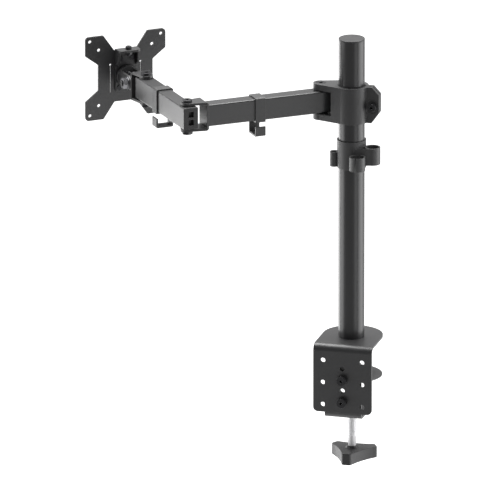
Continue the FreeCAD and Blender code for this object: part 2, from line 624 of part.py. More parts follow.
def arm_clip(lip_side):
    """Band that slides on the tube with a hook below. lip_side is +1 or -1 across the arm."""
    slack = 2 * RUN
    half_w, half_h = TUBE_W / 2 + slack, TUBE_H / 2 + slack
    out_w, out_h = half_w + BAND_T, half_h + BAND_T
    low = -TUBE_H / 2 - HOOK_DROP
    band = box(0, CLIP_L, -out_w, out_w, -out_h, out_h)
    band = round_edges(band, TUBE_R + 0.8, X, lambda p: p.z > 0)
    wall = box(0, CLIP_L, -out_w, -out_w + HOOK_T, low, 0)
    floor = box(0, CLIP_L, -out_w, out_w, low, low + HOOK_T)
    lip = box(0, CLIP_L, out_w - HOOK_T, out_w, low, low + HOOK_LIP)
    hook = wall.fuse(floor).fuse(lip).removeSplitter()
    hook = round_edges(hook, 2.0, X, lambda p: p.z < low + 0.1)
    hook = round_edges(hook, 1.0, X, lambda p: p.z > low + HOOK_LIP - 0.1 and p.y > 0)
    hollow = round_edges(box(-1, CLIP_L + 1, -half_w, half_w, -half_h, half_h), TUBE_R - 0.6, X)
    body = band.fuse(hook).removeSplitter().cut(hollow)
    body.translate(X * (-CLIP_L / 2))
    if lip_side < 0:
        body = body.mirror(Vector(0, 0, 0), Y)
    return body


# ---------------------------------------------------------------- cable clip on the pole
def loop_place(loop):
    angle, reach, radius, rise, height = loop
    centre = unit(angle) * (POLE_CLIP_R + reach)
    return centre.x, centre.y, radius, PLATE_TOP + POLE_CLIP_LOW + rise, height


def pole_cable_clip():
    """Open ring that snaps on the pole, with three slit loops for cables."""
    low = PLATE_TOP + POLE_CLIP_LOW
    high = low + POLE_CLIP_H
    below, above = low - 1, high + 1
    body = upright(POLE_CLIP_R, low, high)
    hollows = [upright(POLE_D / 2 + RUN, below, above)]
    for x, y, radius, bottom, height in map(loop_place, (BIG_LOOP, FRONT_LOOP, SMALL_LOOP)):
        body = body.fuse(upright(radius, bottom, bottom + height, x, y))
        hollows.append(upright(radius - POLE_CLIP_WALL, below, above, x, y))
    x, y, radius, bottom, height = loop_place(BIG_LOOP)
    bridge = plate([Vector(8, -POLE_CLIP_R + 1.9, bottom), Vector(x, y - radius, bottom),
                    Vector(x, y - radius + 2, bottom), Vector(8, -POLE_CLIP_R + 4.2, bottom)], Z * height)
    body = body.fuse(bridge)
    for hollow in hollows:
        body = body.cut(hollow)
    reach, half = POLE_CLIP_R * 1.2, math.radians(POLE_CLIP_MOUTH / 2)
    side = Vector(reach * math.sin(half), reach * math.cos(half), 0)
    body = body.cut(plate([Vector(0, 0, below), Vector(side.x, side.y, below), Vector(0, 2 * reach, below),
                           Vector(-side.x, side.y, below)], Z * (POLE_CLIP_H + 2)))
    slit = LOOP_SLIT / 2
    body = body.cut(box(x, x + radius + 1, y - slit, y + slit, below, above))
    x, y, radius, bottom, height = loop_place(FRONT_LOOP)
    body = body.cut(box(x - slit, x + slit, y - radius - 1, y, below, above))
    x, y, radius, bottom, height = loop_place(SMALL_LOOP)
    body = body.cut(box(x - radius - 1, x, y - slit, y + slit, below, above))
    return body.removeSplitter()


# ---------------------------------------------------------------- head
def head_bracket():
    return at(swivel_fork(HEAD_WEB), HEAD, ARM_2_ANGLE)


def tilt_knuckle():
    """Block on the bracket's web with the cross hole for the tilt bolt."""
    start, half = HEAD_WEB + SHEET, TONGUE_W / 2
    block = box(start, TILT_AT, -half, half, -TONGUE_R, TONGUE_R)
    nose = rod(TONGUE_R, Vector(TILT_AT, -half, 0), Vector(TILT_AT, half, 0))
    body = block.fuse(nose).removeSplitter()
    body = body.cut(rod(M8 / 2 + RUN, Vector(TILT_AT, -half - 1, 0), Vector(TILT_AT, half + 1, 0)))
    return at(body, HEAD, ARM_2_ANGLE)


def tilt_yoke():
    """Two ears on a round flange."""
    flange = rod(HUB_D / 2, Vector(HUB_BACK, 0, 0), Vector(HUB_BACK + HUB_T, 0, 0))
    body = round_rims(flange, 0.8, X, HUB_BACK)
    for sign in (-1, 1):
        y0, y1 = sorted((sign * YOKE_INNER, sign * (YOKE_INNER + SHEET)))
        ear = box(TILT_AT, HUB_BACK + 1, y0, y1, -YOKE_EAR_R, YOKE_EAR_R)
        ear = ear.fuse(rod(YOKE_EAR_R, Vector(TILT_AT, y0, 0), Vector(TILT_AT, y1, 0)))
        body = body.fuse(ear)
    body = body.removeSplitter()
    reach = YOKE_INNER + SHEET + 1
    body = body.cut(rod(M8 / 2 + RUN, Vector(TILT_AT, -reach, 0), Vector(TILT_AT, reach, 0)))
    body = body.cut(rod(M8 / 2 + RUN, Vector(HUB_BACK - 1, 0, 0), Vector(HUB_BACK + HUB_T + 1, 0, 0)))
    return at(body, HEAD, ARM_2_ANGLE)


def tilt_bolt():
    outer = YOKE_INNER + SHEET
    screw = socket_screw(M8, 2 * outer + WASHER_T + M8_NUT_H + 1.5, PIVOT_HEAD_D, 6.0)
    return at(along(screw, Vector(TILT_AT, -outer, 0), -Y), HEAD, ARM_2_ANGLE)


def tilt_washer():
    ring = along(washer(PIVOT_WASHER_D, M8 + 2 * RUN, WASHER_T), Vector(TILT_AT, YOKE_INNER + SHEET, 0), Y)
    return at(ring, HEAD, ARM_2_ANGLE)


def tilt_nut():
    start = Vector(TILT_AT, YOKE_INNER + SHEET + WASHER_T, 0)
    return at(along(nut(M8_NUT_AF, M8_NUT_H, M8 + 2 * RUN), start, Y), HEAD, ARM_2_ANGLE)


def hub_washer():
    ring = along(washer(HUB_D - 2, M8 + 2 * RUN, WASHER_T), Vector(HUB_BACK + HUB_T, 0, 0), X)
    return at(ring, HEAD, ARM_2_ANGLE)


def hub_bolt():
    """Low headed bolt through plate carrier, washer and yoke."""
    length = PLATE_BACK - HUB_BACK + WASHER_T + PIVOT_NUT_H
    screw = upright(HUB_HEAD_D / 2, 0, HUB_HEAD_H)
    screw = round_rims(screw, 0.6, Z, HUB_HEAD_H).fuse(upright(M8 / 2, -length, 0.5))
    key = hex_prism(5.0, HUB_HEAD_H)
    key.translate(Z * 0.6)
    return at(along(screw.cut(key).removeSplitter(), Vector(PLATE_BACK, 0, 0), X), HEAD, ARM_2_ANGLE)


def hub_nut():
    ring = along(washer(14.0, M8 + 2 * RUN, WASHER_T), Vector(HUB_BACK, 0, 0), -X)
    lock = along(nut(M8_NUT_AF, PIVOT_NUT_H, M8 + 2 * RUN), Vector(HUB_BACK - WASHER_T, 0, 0), -X)
    return [at(ring, HEAD, ARM_2_ANGLE), at(lock, HEAD, ARM_2_ANGLE)]


def plate_carrier():
    """Bent bracket behind the plate: a back sheet, two short side flanges and a top flange."""
    half, front = CARRIER_W / 2, CARRIER_BACK - CARRIER_FLANGE + SHEET
    sheet = box(CARRIER_BACK, PLATE_BACK, -half, half, -CARRIER_DROP, CARRIER_RISE)
    sheet = round_edges(sheet, 6.0, X, lambda p: p.z < 0)
    top = box(front, PLATE_BACK, -half, half, CARRIER_RISE - SHEET, CARRIER_RISE)
    top = round_edges(top, 5.0, Z, lambda p: p.x < front + 0.1)
    body = sheet.fuse(top)
    low = CARRIER_RISE - CARRIER_SIDE_H
    for sign in (-1, 1):
        y0, y1 = sorted((sign * half, sign * (half - SHEET)))
        side = plate([Vector(CARRIER_BACK + 1, y0, low), Vector(CARRIER_BACK + 1, y0, CARRIER_RISE - 1),
                      Vector(front + 5.5, y0, CARRIER_RISE - 1), Vector(front + 5.5, y0, low + 8)],
                     Y * (y1 - y0))
        body = body.fuse(side)
    body = body.removeSplitter()
    body = round_edges(body, 2.5, Y, lambda p: p.x > PLATE_BACK - 0.1 and p.z > CARRIER_RISE - 0.1)
    body = body.cut(rod(M8 / 2 + RUN, Vector(CARRIER_BACK - 1, 0, 0), Vector(PLATE_BACK + 1, 0, 0)))
    for y, z in RIVET_PLACES:
        body = body.cut(rod(RIVET_D / 2 + RUN, Vector(CARRIER_BACK - 1, y, z), Vector(PLATE_BACK + 1, y, z)))
    lock_x = lock_place()
    body = body.cut(upright(M5 / 2 + RUN, CARRIER_RISE - SHEET - 1, CARRIER_RISE + 1, lock_x, 0))
    return at(body, HEAD, ARM_2_ANGLE)


def lock_place():
    return CARRIER_BACK - CARRIER_FLANGE / 2 + SHEET / 2


def carrier_lock_screw():
    screw = socket_screw(M5, 9.0, LOCK_HEAD_D, LOCK_HEAD_H)
    screw.translate(Vector(lock_place(), 0, CARRIER_RISE))
    return at(screw, HEAD, ARM_2_ANGLE)


def carrier_lock_nut():
    body = nut(8.0, 4.0, M5 + 2 * RUN)
    body.translate(Vector(lock_place(), 0, CARRIER_RISE - SHEET - 4.0))
    return at(body, HEAD, ARM_2_ANGLE)


def plate_rivets():
    rivets = []
    for y, z in RIVET_PLACES:
        shank = rod(RIVET_D / 2, Vector(CARRIER_BACK - 1.2, y, z), Vector(PLATE_BACK + VESA_T + 0.8, y, z))
        back = rod(RIVET_HEAD_D / 2, Vector(CARRIER_BACK - 1.2, y, z), Vector(CARRIER_BACK, y, z))
        face = PLATE_BACK + VESA_T
        front = rod(RIVET_HEAD_D / 2, Vector(face, y, z), Vector(face + 0.8, y, z))
        rivets.append(at(shank.fuse(back).fuse(front).removeSplitter(), HEAD, ARM_2_ANGLE))
    return rivets


def vesa_outline():
    """The four-armed plate, in its own y and z."""
    quarter = [(VESA_VALLEY_SIDE[0], VESA_VALLEY_SIDE[1]), (VESA_HALF, VESA_EDGE_Z), (VESA_HALF, VESA_HALF),
               (VESA_EDGE_X, VESA_HALF), (VESA_VALLEY_TOP[0], VESA_VALLEY_TOP[1])]
    loop = [(y, z) for y, z in quarter]
    loop += [(-y, z) for y, z in reversed(quarter)]
    loop += [(-y, -z) for y, z in quarter]
    loop += [(y, -z) for y, z in reversed(quarter)]
    return [Vector(PLATE_BACK, y, z) for y, z in loop]


def vesa_plate():
    body = plate(vesa_outline(), X * VESA_T)
    body = round_edges(body, VESA_CORNER_R, X, lambda p: min(abs(p.y), abs(p.z)) > VESA_HALF - 0.1)
    body = round_edges(body, 2.5, X, lambda p: max(abs(p.y), abs(p.z)) > VESA_EDGE_X + 1)
    start, end = PLATE_BACK - 1, PLATE_BACK + VESA_T + 1
    for pitch in VESA_PITCHES:
        for y in (-pitch / 2, pitch / 2):
            for z in (-pitch / 2, pitch / 2):
                body = body.cut(rod(VESA_HOLE_D / 2, Vector(start, y, z), Vector(end, y, z)))
    for y in (-VESA_SLOT_X, VESA_SLOT_X):
        body = body.cut(box(start, end, y - VESA_SLOT_W / 2, y + VESA_SLOT_W / 2, *VESA_SLOT_Z))
        eye = VESA_SLOT_Z[1]
        body = body.cut(rod(VESA_SLOT_EYE_D / 2, Vector(start, y, eye), Vector(end, y, eye)))
    for y, z in RIVET_PLACES:
        body = body.cut(rod(RIVET_D / 2 + RUN, Vector(start, y, z), Vector(end, y, z)))
    body = body.cut(rod(HUB_WINDOW_D / 2, Vector(start, 0, 0), Vector(end, 0, 0)))
    return at(body, HEAD, ARM_2_ANGLE)


# ---------------------------------------------------------------- the whole arm
def turned(shape, x):
    """The same piece facing the other way along the arm, at x."""
    other = shape.copy()
    other.rotate(Vector(0, 0, 0), Z, 180)
    other.translate(X * x)
    return other


def all_nodes():
    plug = end_plug(SHOULDER_OVERHANG, False)
    return {
        "clamp_top_bracket": clamp_top_bracket(),
        "desk_foam": desk_foam(),
        "clamp_lower_bracket": clamp_lower_bracket(),
        "thread_boss": thread_boss(),
        "bracket_bolts": bracket_bolts(),
        "screw_tip": screw_tip(),
        "clamp_pad": clamp_pad(),
        "pad_rubber": pad_rubber(),
        "clamp_screw": clamp_screw(),
        "clamp_knob": clamp_knob(),
        "knob_insert": knob_insert(),
        "pole_tube": pole_tube(),
        "pole_cap": pole_cap(),
        "pole_base_plug": pole_base_plug(),
        "pole_bolt": pole_bolt(),
        "pole_cable_clip": pole_cable_clip(),
        "collar_liner": collar_liner(),
        "collar_body": collar_body(),
        "collar_screw": collar_screw(),
        "collar_nut": collar_nut(),
        "shoulder_bolt": shoulder_bolt(),
        "shoulder_nut": shoulder_nut(),
        "shoulder_washers": pivot_washers(SHOULDER, ARM_1_ANGLE),
        "arm_1_tube": arm_1_tube(),
        "arm_1_shoulder_plug": at(plug, SHOULDER, ARM_1_ANGLE),
        "arm_1_cable_clip": at(arm_clip(1), SHOULDER + unit(ARM_1_ANGLE) * ARM_1_CLIP_AT, ARM_1_ANGLE),
        "elbow_bracket": elbow_bracket(),
        "elbow_bolt": fork_bolt(ELBOW),
        "elbow_nut": fork_nut(ELBOW),
        "elbow_washers": pivot_washers(ELBOW, ARM_2_ANGLE),
        "arm_2_tube": arm_2_tube(),
        "arm_2_elbow_plug": at(end_plug(ELBOW_OVERHANG, True), ELBOW, ARM_2_ANGLE),
        "arm_2_head_plug": at(turned(end_plug(HEAD_OVERHANG, False), ARM_2_LENGTH), ELBOW, ARM_2_ANGLE),
        "arm_2_cable_clip": at(arm_clip(1), ELBOW + unit(ARM_2_ANGLE) * ARM_2_CLIP_AT, ARM_2_ANGLE),
        "head_bracket": head_bracket(),
        "head_bolt": fork_bolt(HEAD),
        "head_nut": fork_nut(HEAD),
        "head_washers": pivot_washers(HEAD, ARM_2_ANGLE),
        "tilt_knuckle": tilt_knuckle(),
        "tilt_yoke": tilt_yoke(),
        "tilt_bolt": tilt_bolt(),
        "tilt_washer": tilt_washer(),
        "tilt_nut": tilt_nut(),
        "hub_washer": hub_washer(),
        "hub_bolt": hub_bolt(),
        "hub_nut": hub_nut(),
        "plate_carrier": plate_carrier(),
        "carrier_lock_screw": carrier_lock_screw(),
        "carrier_lock_nut": carrier_lock_nut(),
        "plate_rivets": plate_rivets(),
        "vesa_plate": vesa_plate(),
    }


os.makedirs("parts", exist_ok=True)
for name, made in all_nodes().items():
    solids = made if isinstance(made, list) else [made]
    whole = Part.makeCompound(solids) if len(solids) > 1 else solids[0]
    for solid in solids:
        if not solid.isValid() or len(solid.Solids) != 1:
            raise ValueError(f"{name}: {len(solid.Solids)} solids, valid {solid.isValid()}")
    whole.exportStep(f"parts/{name}.step")
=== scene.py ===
"""Looks of a desk-clamped monitor arm: finishes, screw thread, ribbed clamp pad, studio floor, lamps and camera."""

from __future__ import annotations

import json
import logging
import math
from dataclasses import dataclass, field
from enum import Enum
from typing import Callable

import bmesh
import bpy
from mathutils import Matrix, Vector

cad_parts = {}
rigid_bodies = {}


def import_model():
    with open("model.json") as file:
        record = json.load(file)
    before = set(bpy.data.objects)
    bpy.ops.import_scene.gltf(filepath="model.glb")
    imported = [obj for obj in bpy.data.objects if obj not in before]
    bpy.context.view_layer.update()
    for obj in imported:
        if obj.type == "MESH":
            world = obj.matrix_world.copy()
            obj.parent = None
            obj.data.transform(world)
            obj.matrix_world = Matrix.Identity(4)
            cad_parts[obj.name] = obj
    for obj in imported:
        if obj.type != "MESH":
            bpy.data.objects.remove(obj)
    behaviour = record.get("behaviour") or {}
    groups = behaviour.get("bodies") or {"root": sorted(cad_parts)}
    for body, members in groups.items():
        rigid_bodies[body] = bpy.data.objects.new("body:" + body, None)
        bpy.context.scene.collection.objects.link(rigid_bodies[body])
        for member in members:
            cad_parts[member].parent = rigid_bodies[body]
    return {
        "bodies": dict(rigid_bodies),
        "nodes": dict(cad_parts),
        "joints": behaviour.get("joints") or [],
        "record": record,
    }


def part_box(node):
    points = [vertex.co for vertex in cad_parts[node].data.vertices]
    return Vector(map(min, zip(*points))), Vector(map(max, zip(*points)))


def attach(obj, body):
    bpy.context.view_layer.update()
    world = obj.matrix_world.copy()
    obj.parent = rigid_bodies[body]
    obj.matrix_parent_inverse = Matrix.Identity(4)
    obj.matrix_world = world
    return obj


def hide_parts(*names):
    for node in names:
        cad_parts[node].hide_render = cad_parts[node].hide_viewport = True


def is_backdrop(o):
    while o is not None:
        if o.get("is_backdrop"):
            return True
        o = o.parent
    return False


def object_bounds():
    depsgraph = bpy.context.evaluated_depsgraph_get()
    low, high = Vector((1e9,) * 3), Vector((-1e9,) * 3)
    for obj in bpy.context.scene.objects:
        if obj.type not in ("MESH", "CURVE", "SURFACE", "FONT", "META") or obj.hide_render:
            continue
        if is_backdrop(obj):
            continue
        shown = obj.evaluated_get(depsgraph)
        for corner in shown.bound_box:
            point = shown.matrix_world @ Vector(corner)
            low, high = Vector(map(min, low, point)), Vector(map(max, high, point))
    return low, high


LOG = logging.getLogger("monitor_arm")
MM = 0.001


class Surface(Enum):
    """How a finish's fine texture is laid on the surface."""

    GRAINED = "grained"      # the same in every direction
    TURNED = "turned"        # fine rings about the vertical axis
    BRUSHED = "brushed"      # short streaks along the vertical axis


class GroupName(Enum):
    """Shader node groups that several finishes share."""

    GRAIN = "fine_grain"
    EDGES = "soft_edges"
    DUST = "settled_dust"


# ---------------------------------------------------------------- shader node groups
def new_group(name: GroupName, inputs: dict[str, float], outputs: dict[str, str]) -> bpy.types.NodeTree:
    """Make an empty node group with named float inputs and named outputs.

    Args:
        name: Which shared group this is.
        inputs: Input names with their default values.
        outputs: Output names with their socket types.

    Returns:
        The new node tree, with its input and output nodes in place.
    """
    tree = bpy.data.node_groups.new(name.value, "ShaderNodeTree")
    for label, value in inputs.items():
        socket = tree.interface.new_socket(name=label, in_out="INPUT", socket_type="NodeSocketFloat")
        socket.default_value = value
    for label, kind in outputs.items():
        tree.interface.new_socket(name=label, in_out="OUTPUT", socket_type=kind)
    tree.nodes.new("NodeGroupInput").name = "In"
    tree.nodes.new("NodeGroupOutput").name = "Out"
    return tree


def math_node(tree: bpy.types.NodeTree, operation: str, first: object, second: object = 0.0) -> bpy.types.NodeSocket:
    """Add a Math node and return its output.

    Args:
        tree: Tree that gets the node.
        operation: Blender's name of the operation.
        first: A socket or a number for the first input.
        second: A socket or a number for the second input.

    Returns:
        The node's value output.
    """
    node = tree.nodes.new("ShaderNodeMath")
    node.operation = operation
    for socket, value in zip(node.inputs, (first, second)):
        if isinstance(value, bpy.types.NodeSocket):
            tree.links.new(value, socket)
        else:
            socket.default_value = value
    return node.outputs[0]


def noise_node(tree: bpy.types.NodeTree, vector: bpy.types.NodeSocket, scale: object, detail: float) -> bpy.types.NodeSocket:
    """Add a Noise texture read at a vector and return its factor.

    Args:
        tree: Tree that gets the node.
        vector: Where the noise is read.
        scale: A socket or a number for its scale, per metre.
        detail: Number of octaves.

    Returns:
        The noise's factor output.
    """
    node = tree.nodes.new("ShaderNodeTexNoise")
    node.inputs["Detail"].default_value = detail
    tree.links.new(vector, node.inputs["Vector"])
    if isinstance(scale, bpy.types.NodeSocket):
        tree.links.new(scale, node.inputs["Scale"])
    else:
        node.inputs["Scale"].default_value = scale
    return node.outputs["Fac"]


def build_grain_group() -> bpy.types.NodeTree:
    """Fine texture of a coat or moulding: a height, slow mottling and sparse specks."""
    tree = new_group(
        GroupName.GRAIN,
        {"Scale": 2500.0, "Across": 1.0, "Upright": 1.0, "Mottle Scale": 60.0},
        {"Height": "NodeSocketFloat", "Mottle": "NodeSocketFloat", "Specks": "NodeSocketFloat"},
    )
    entry, out = tree.nodes["In"], tree.nodes["Out"]
    place = tree.nodes.new("ShaderNodeTexCoord")
    split = tree.nodes.new("ShaderNodeSeparateXYZ")
    tree.links.new(place.outputs["Object"], split.inputs[0])
    stretch = tree.nodes.new("ShaderNodeCombineXYZ")
    for axis, share in (("X", "Across"), ("Y", "Across"), ("Z", "Upright")):
        tree.links.new(math_node(tree, "MULTIPLY", split.outputs[axis], entry.outputs[share]), stretch.inputs[axis])
    fine = noise_node(tree, stretch.outputs[0], entry.outputs["Scale"], 3.0)
    mottle = noise_node(tree, place.outputs["Object"], entry.outputs["Mottle Scale"], 4.0)
    speck = noise_node(tree, place.outputs["Object"], 3200.0, 1.0)
    sparse = math_node(tree, "GREATER_THAN", speck, 0.71)
    tree.links.new(fine, out.inputs["Height"])
    tree.links.new(mottle, out.inputs["Mottle"])
    tree.links.new(sparse, out.inputs["Specks"])
    return tree


def build_edge_group() -> bpy.types.NodeTree:
    """Softened edges: a normal that rolls over each corner, and a mask that is 1 on the corner, standing partly for
    rubbed wear and partly for a painted highlight.
    """
    tree = new_group(
        GroupName.EDGES,
        {"Radius": 0.0005, "Wear And Highlight": 0.5},
        {"Normal": "NodeSocketVector", "Mask": "NodeSocketFloat"},
    )
    entry, out = tree.nodes["In"], tree.nodes["Out"]
    bevel = tree.nodes.new("ShaderNodeBevel")
    bevel.samples = 6
    tree.links.new(entry.outputs["Radius"], bevel.inputs["Radius"])
    flat = tree.nodes.new("ShaderNodeNewGeometry")
    dot = tree.nodes.new("ShaderNodeVectorMath")
    dot.operation = "DOT_PRODUCT"
    tree.links.new(bevel.outputs[0], dot.inputs[0])
    tree.links.new(flat.outputs["Normal"], dot.inputs[1])
    turn = math_node(tree, "SUBTRACT", 1.0, dot.outputs["Value"])
    sharp = math_node(tree, "MULTIPLY", turn, 6.0)
    place = tree.nodes.new("ShaderNodeTexCoord")
    patch = noise_node(tree, place.outputs["Object"], 350.0, 3.0)
    # Corner mask patched by noise: partly rubbed wear, partly a painted highlight along the edges.
    worn_and_highlit = math_node(tree, "MULTIPLY", sharp, math_node(tree, "MULTIPLY", patch, entry.outputs["Wear And Highlight"]))
    clipped = math_node(tree, "MINIMUM", worn_and_highlit, 1.0)
    tree.links.new(bevel.outputs[0], out.inputs["Normal"])
    tree.links.new(clipped, out.inputs["Mask"])
    return tree


def build_dust_group() -> bpy.types.NodeTree:
    """Thin dust on faces that look up, in soft patches."""
    tree = new_group(GroupName.DUST, {"Amount": 0.1}, {"Mask": "NodeSocketFloat"})
    entry, out = tree.nodes["In"], tree.nodes["Out"]
    flat = tree.nodes.new("ShaderNodeNewGeometry")
    split = tree.nodes.new("ShaderNodeSeparateXYZ")
    tree.links.new(flat.outputs["Normal"], split.inputs[0])
    upward = math_node(tree, "POWER", math_node(tree, "MAXIMUM", split.outputs["Z"], 0.0), 3.0)
    place = tree.nodes.new("ShaderNodeTexCoord")
    patch = noise_node(tree, place.outputs["Object"], 90.0, 5.0)
    soft = math_node(tree, "MULTIPLY", upward, patch)
    tree.links.new(math_node(tree, "MULTIPLY", soft, entry.outputs["Amount"]), out.inputs["Mask"])
    return tree


# ---------------------------------------------------------------- finishes
@dataclass(frozen=True)
class Finish:
    """One surface finish, made of a Principled shader fed by the shared groups.

    Args:
        name: Name of the material.
        tone: Linear grey or colour of the surface.
        second: Colour that the slow mottling drifts to.
        roughness: Lowest and highest roughness over the mottling.
        metallic: 1 for bare metal.
        specular: Specular level of the shader.
        grain: Scale of the fine texture, per metre.
        depth: Height of the fine texture, in metres.
        surface: How the fine texture lies.
        wear_and_highlight: How much of the edges shows the worn tone, which is partly wear and partly a painted
            highlight.
        worn_and_highlit: Colour of the edges, partly rubbed wear and partly a painted highlight.
        edge: Radius of the softened edges, in metres.
        dust: Amount of dust on top faces.
        specks: Strength of the sparse light specks.
        coat: Weight of a clear coat.
    """

    name: str
    tone: tuple[float, float, float]
    second: tuple[float, float, float]
    roughness: tuple[float, float]
    metallic: float = 0.0
    specular: float = 0.5
    grain: float = 2500.0
    depth: float = 0.00002
    surface: Surface = Surface.GRAINED
    wear_and_highlight: float = 0.5
    worn_and_highlit: tuple[float, float, float] = (0.2, 0.2, 0.2)
    edge: float = 0.0005
    dust: float = 0.05
    specks: float = 0.0
    coat: float = 0.0

    def material(self) -> bpy.types.Material:
        """Build this finish as a node material.

        Returns:
            The new material.
        """
        made = bpy.data.materials.new(self.name)
        made.use_nodes = True
        tree = made.node_tree
        shader = tree.nodes["Principled BSDF"]
        shader.inputs["Metallic"].default_value = self.metallic
        shader.inputs["Specular IOR Level"].default_value = self.specular
        shader.inputs["Coat Weight"].default_value = self.coat
        grain = self._group(tree, GroupName.GRAIN)
        across, upright = {Surface.GRAINED: (1.0, 1.0), Surface.TURNED: (0.02, 1.0),
                           Surface.BRUSHED: (1.0, 0.04)}[self.surface]
        for label, value in (("Scale", self.grain), ("Across", across), ("Upright", upright)):
            grain.inputs[label].default_value = value
        edges = self._group(tree, GroupName.EDGES)
        edges.inputs["Radius"].default_value = self.edge
        edges.inputs["Wear And Highlight"].default_value = self.wear_and_highlight
        dust = self._group(tree, GroupName.DUST)
        dust.inputs["Amount"].default_value = self.dust
        colour = self._mix(tree, grain.outputs["Mottle"], self.tone, self.second)
        colour = self._mix(tree, math_node(tree, "MULTIPLY", grain.outputs["Specks"], self.specks), colour,
                           tuple(min(1.0, 3.0 * c + 0.05) for c in self.tone))
        # Edges are mixed towards the worn tone, which is partly rubbed wear and partly a painted highlight.
        colour = self._mix(tree, edges.outputs["Mask"], colour, self.worn_and_highlit)
        colour = self._mix(tree, dust.outputs["Mask"], colour, (0.45, 0.44, 0.42))
        tree.links.new(colour, shader.inputs["Base Color"])
        low, high = self.roughness
        spread = math_node(tree, "MULTIPLY", grain.outputs["Mottle"], high - low)
        rough = math_node(tree, "ADD", spread, low)
        rough = math_node(tree, "ADD", rough, math_node(tree, "MULTIPLY", dust.outputs["Mask"], 0.5))
        tree.links.new(rough, shader.inputs["Roughness"])
        bump = tree.nodes.new("ShaderNodeBump")
        bump.inputs["Strength"].default_value = 1.0
        bump.inputs["Distance"].default_value = self.depth
        tree.links.new(grain.outputs["Height"], bump.inputs["Height"])
        tree.links.new(edges.outputs["Normal"], bump.inputs["Normal"])
        tree.links.new(bump.outputs[0], shader.inputs["Normal"])
        return made

    def _group(self, tree: bpy.types.NodeTree, name: GroupName) -> bpy.types.Node:
        """Place a shared group in a material's tree."""
        node = tree.nodes.new("ShaderNodeGroup")
        node.node_tree = bpy.data.node_groups[name.value]
        return node

    def _mix(self, tree: bpy.types.NodeTree, factor: object, first: object, second: object) -> bpy.types.NodeSocket:
        """Mix two colours, each a socket or three numbers, by a factor.

        Args:
            tree: Tree that gets the node.
            factor: Socket with the share of the second colour.
            first: First colour.
            second: Second colour.

        Returns:
            The mixed colour's socket.
        """
        node = tree.nodes.new("ShaderNodeMix")
        node.data_type = "RGBA"
        tree.links.new(factor, node.inputs[0])
        for socket, value in ((node.inputs[6], first), (node.inputs[7], second)):
            if isinstance(value, bpy.types.NodeSocket):
                tree.links.new(value, socket)
            else:
                socket.default_value = (*value, 1.0)
        return node.outputs[2]


# The worn tones, mostly lighter than each finish's tone, are partly rubbed wear and partly a painted highlight on
# the edges.
POWDER_COAT = Finish("powder_coat", (0.018, 0.018, 0.019), (0.025, 0.025, 0.026), (0.34, 0.42), specular=0.7,
                     grain=1800.0, depth=0.00003, wear_and_highlight=0.35, worn_and_highlit=(0.09, 0.09, 0.09), edge=0.0006, dust=0.03)
POLE_COAT = Finish("pole_coat", (0.013, 0.013, 0.014), (0.018, 0.018, 0.019), (0.27, 0.32), specular=0.6,
                   grain=1400.0, depth=0.000008, wear_and_highlight=0.3, worn_and_highlit=(0.08, 0.08, 0.08), edge=0.0006, dust=0.03)
CAST_COAT = Finish("cast_coat", (0.022, 0.022, 0.023), (0.034, 0.034, 0.035), (0.40, 0.50), specular=0.6,
                   grain=900.0, depth=0.00008, wear_and_highlight=0.5, worn_and_highlit=(0.12, 0.12, 0.12), edge=0.0008, dust=0.04)
BLACK_PLASTIC = Finish("moulded_plastic", (0.020, 0.020, 0.021), (0.026, 0.026, 0.027), (0.38, 0.46), specular=0.4,
                       grain=2600.0, depth=0.00004, wear_and_highlight=0.3, worn_and_highlit=(0.06, 0.06, 0.06), edge=0.0006, dust=0.05)
CLIP_PLASTIC = Finish("clip_plastic", (0.036, 0.036, 0.037), (0.046, 0.046, 0.047), (0.40, 0.50), specular=0.5,
                      grain=2600.0, depth=0.00004, wear_and_highlight=0.4, worn_and_highlit=(0.14, 0.14, 0.14), edge=0.0005, dust=0.04)
NYLON = Finish("black_nylon", (0.010, 0.010, 0.010), (0.014, 0.014, 0.014), (0.50, 0.60), specular=0.4,
               grain=3000.0, depth=0.00002, wear_and_highlight=0.2, worn_and_highlit=(0.04, 0.04, 0.04), edge=0.0003, dust=0.02)
BLACK_OXIDE = Finish("black_oxide", (0.020, 0.020, 0.022), (0.034, 0.034, 0.036), (0.25, 0.36), metallic=0.6,
                     specular=0.5, grain=3500.0, depth=0.00001, surface=Surface.TURNED, wear_and_highlight=0.8,
                     worn_and_highlit=(0.28, 0.28, 0.29), edge=0.0003, dust=0.02)
# Painted reflection: the steel's pale, mostly diffuse base colour (metallic 0.35) stands in for the white surround
# that the dimmed gloss no longer shows.
STEEL_WITH_PAINTED_REFLECTION = Finish("bright_steel", (0.84, 0.84, 0.85), (0.78, 0.78, 0.79), (0.34, 0.44), metallic=0.35,
                      grain=2200.0, depth=0.000008, surface=Surface.TURNED, wear_and_highlight=0.3, worn_and_highlit=(0.9, 0.9, 0.9),
                      edge=0.0003, dust=0.02)
DARK_ZINC = Finish("dark_zinc", (0.24, 0.24, 0.25), (0.18, 0.18, 0.19), (0.34, 0.44), metallic=1.0, grain=2200.0,
                   depth=0.00001, surface=Surface.TURNED, wear_and_highlight=0.5, worn_and_highlit=(0.45, 0.45, 0.46), edge=0.0004, dust=0.02)
FOAM = Finish("black_foam", (0.012, 0.012, 0.012), (0.022, 0.022, 0.022), (0.85, 0.95), specular=0.2,
              grain=1600.0, depth=0.0003, wear_and_highlight=0.0, edge=0.0004, dust=0.05, specks=0.4)
RUBBER = Finish("pad_rubber", (0.110, 0.110, 0.110), (0.135, 0.135, 0.135), (0.38, 0.50), specular=0.5,
                grain=2000.0, depth=0.00006, wear_and_highlight=0.2, worn_and_highlit=(0.06, 0.06, 0.06), edge=0.0004, dust=0.08)
